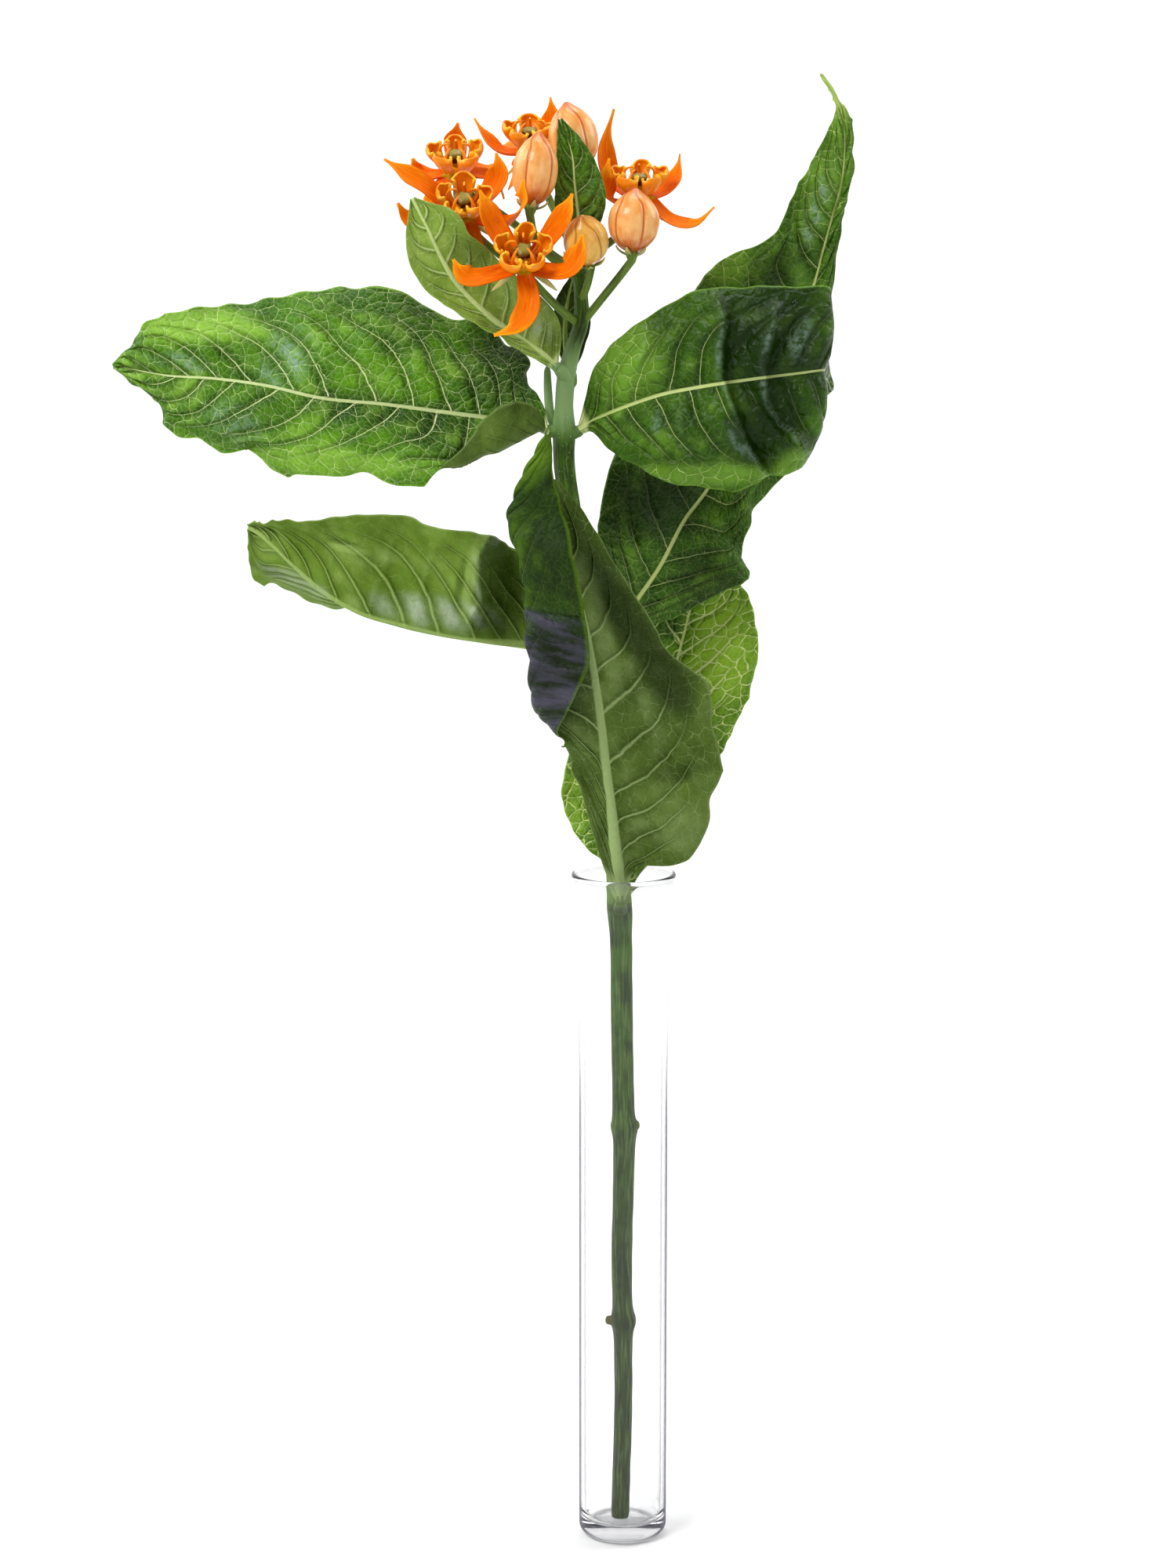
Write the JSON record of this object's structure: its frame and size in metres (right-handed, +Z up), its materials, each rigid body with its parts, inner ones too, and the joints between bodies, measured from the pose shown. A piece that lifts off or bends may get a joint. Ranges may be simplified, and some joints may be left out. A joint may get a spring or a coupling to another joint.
{
  "type": "butterfly weed in vase",
  "caption": "Cut butterfly weed with broad veined leaves, open orange flowers and closed buds, standing in a slim clear glass tube vase.",
  "frame": {"origin": "centre of the vase's flat underside", "axes": "+Z up along the vase's axis; -Y towards the picture's viewer; +X to the viewer's right"},
  "size_m": [0.1573, 0.0593, 0.3194],
  "materials": {
    "clear_glass": "clear, smooth, uncoloured",
    "stem_green": "mid green, satin, darker towards the cut end",
    "leaf_green": "dark green with pale veins above, dull light green beneath",
    "petal_orange": "bright orange, satin, redder at the base",
    "corona_amber": "yellow orange, waxy",
    "head_olive": "olive top, dark brown sides",
    "bud_peach": "peach, glossy, darker orange seams"
  },
  "bodies": {
    "root": {"bloom_back_corona": "corona_amber", "bloom_back_head": "head_olive", "bloom_back_petals": "petal_orange", "bloom_far_left_corona": "corona_amber", "bloom_far_left_head": "head_olive", "bloom_far_left_petals": "petal_orange", "bloom_front_corona": "corona_amber", "bloom_front_head": "head_olive", "bloom_front_petals": "petal_orange", "bloom_left_corona": "corona_amber", "bloom_left_head": "head_olive", "bloom_left_petals": "petal_orange", "bloom_right_corona": "corona_amber", "bloom_right_head": "head_olive", "bloom_right_petals": "petal_orange", "bud_front": "bud_peach", "bud_left": "bud_peach", "bud_right": "bud_peach", "bud_top": "bud_peach", "leaf_back": "leaf_green", "leaf_front": "leaf_green", "leaf_long": "leaf_green", "leaf_lower_left": "leaf_green", "leaf_small_left": "leaf_green", "leaf_small_right": "leaf_green", "leaf_top": "leaf_green", "leaf_upper_left": "leaf_green", "leaf_upper_right": "leaf_green", "stem": "stem_green", "vase": "clear_glass"}
  },
  "joints": []
}
